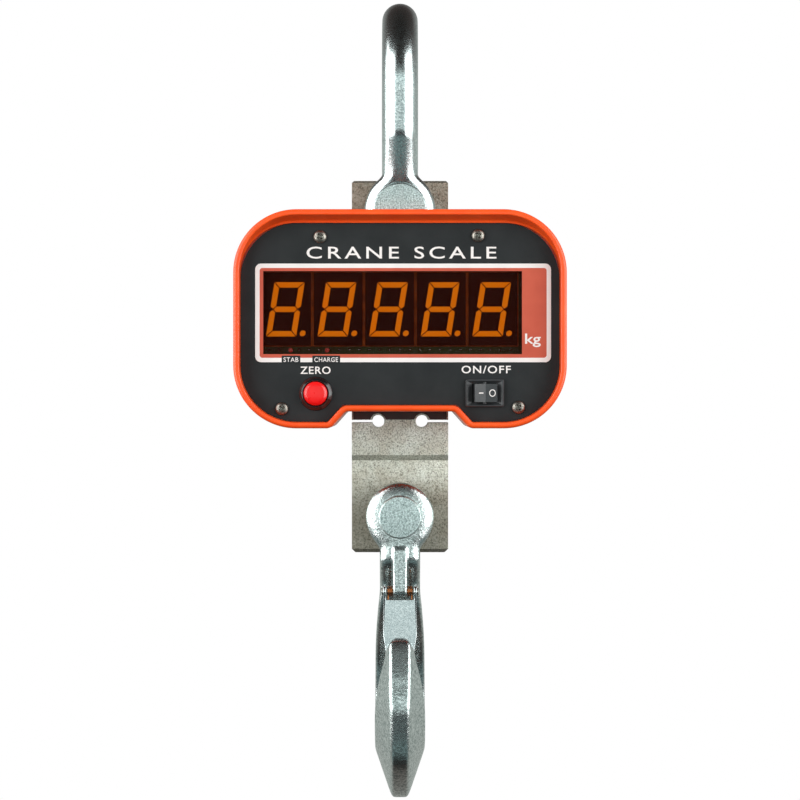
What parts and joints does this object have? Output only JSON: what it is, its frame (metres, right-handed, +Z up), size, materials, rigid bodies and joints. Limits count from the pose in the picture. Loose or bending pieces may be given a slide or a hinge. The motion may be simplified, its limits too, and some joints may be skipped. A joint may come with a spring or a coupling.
{
  "type": "crane scale",
  "caption": "Hanging crane scale with a bow shackle, a load cell block, an orange case with a red number display, and a swinging fork hook with a sprung latch.",
  "frame": {"origin": "the point inside the shackle's crown that rests on a crane's own hook", "axes": "+Z up along the line of pull, +X to the reader's right along the display, -Y out of the display"},
  "size_m": [0.182, 0.11, 0.4485],
  "materials": {
    "zinc_forging": "bright zinc plate over a forged surface",
    "zinc_pin": "grainy bluish zinc plate",
    "bright_fastener": "bright plated steel",
    "nickel_block": "grainy matt nickel plate",
    "gauge_cover": "dark brown sealed cover",
    "gauge_foil": "foil on film",
    "sheet_steel": "zinc-plated sheet steel",
    "brass": "turned brass",
    "cable_jacket": "flexible jacket",
    "orange_case": "orange powder-coated die casting",
    "black_rubber": "moulded rubber",
    "charcoal_panel": "fine-textured charcoal",
    "printed_label": "printed film",
    "red_filter": "dark red acrylic filter",
    "digit_body": "potted digit modules",
    "indicator_red": "clear red lens",
    "circuit_board": "green solder mask",
    "battery_wrap": "heat-shrink wrap",
    "black_plastic": "dark moulded plastic",
    "button_red": "red moulded cap",
    "button_bezel": "dark red moulded bezel",
    "copper_spring": "copper-coloured spring wire"
  },
  "bodies": {
    "shackle": {"shackle_bow": "zinc_forging", "shackle_pin": "zinc_pin", "shackle_washer": "zinc_pin", "shackle_split_pin": "bright_fastener"},
    "scale": {"load_cell": "nickel_block", "strain_gauges": "gauge_foil", "gauge_cover_front": "gauge_cover", "gauge_cover_rear": "gauge_cover", "gauge_cover_screws": "bright_fastener", "cell_bracket": "sheet_steel", "cell_bracket_screws": "bright_fastener", "cable_gland": "brass", "load_cell_cable": "cable_jacket", "front_housing": "orange_case", "rear_housing": "orange_case", "housing_seal": "black_rubber", "housing_screws": "bright_fastener", "top_gland": "black_rubber", "bottom_gland": "black_rubber", "panel": "charcoal_panel", "panel_label": "printed_label", "panel_screws": "bright_fastener", "filter_window": "red_filter", "digit_1": "digit_body", "digit_2": "digit_body", "digit_3": "digit_body", "digit_4": "digit_body", "digit_5": "digit_body", "display_board": "circuit_board", "display_standoffs": "brass", "indicator_leds": "indicator_red", "main_board": "circuit_board", "board_standoffs": "brass", "board_screws": "bright_fastener", "display_ribbon": "cable_jacket", "battery": "battery_wrap", "battery_clamp": "sheet_steel", "battery_lead": "cable_jacket", "charge_socket": "black_plastic", "button_body": "button_bezel", "button_nut": "bright_fastener", "button_spring": "bright_fastener", "switch_body": "black_plastic"},
    "hook": {"hook": "zinc_forging", "hook_pin": "zinc_pin", "hook_washer": "zinc_pin", "hook_split_pin": "bright_fastener", "latch_pin": "bright_fastener"},
    "latch": {"latch": "sheet_steel", "latch_spring": "copper_spring"},
    "zero_button": {"button_cap": "button_red"},
    "power_rocker": {"switch_rocker": "black_plastic"}
  },
  "joints": [
    {"name": "shackle_swing", "type": "hinge", "parent": "shackle", "child": "scale", "pos_m": [0, 0, -0.0985], "axis": [0, 1, 0], "range_deg": [-45, 45]},
    {"name": "hook_swing", "type": "hinge", "parent": "scale", "child": "hook", "pos_m": [0, 0, -0.269], "axis": [0, 1, 0], "range_deg": [-22, 22]},
    {"name": "latch_open", "type": "hinge", "parent": "hook", "child": "latch", "pos_m": [0, -0.024, -0.3105], "axis": [1, 0, 0], "range_deg": [0, 40], "stiffness_Nm_per_rad": 0.05, "springref_deg": -20.05, "deforming": ["latch_spring"]},
    {"name": "zero_press", "type": "slide", "parent": "scale", "child": "zero_button", "axis": [0, 1, 0], "range_m": [0, 0.003], "stiffness_N_per_m": 400, "springref_m": -0.0008, "deforming": ["button_spring"]},
    {"name": "power_rock", "type": "hinge", "parent": "scale", "child": "power_rocker", "pos_m": [0.0464, -0.0524, -0.2001], "axis": [0, 0, -1], "range_deg": [0, 16]}
  ]
}
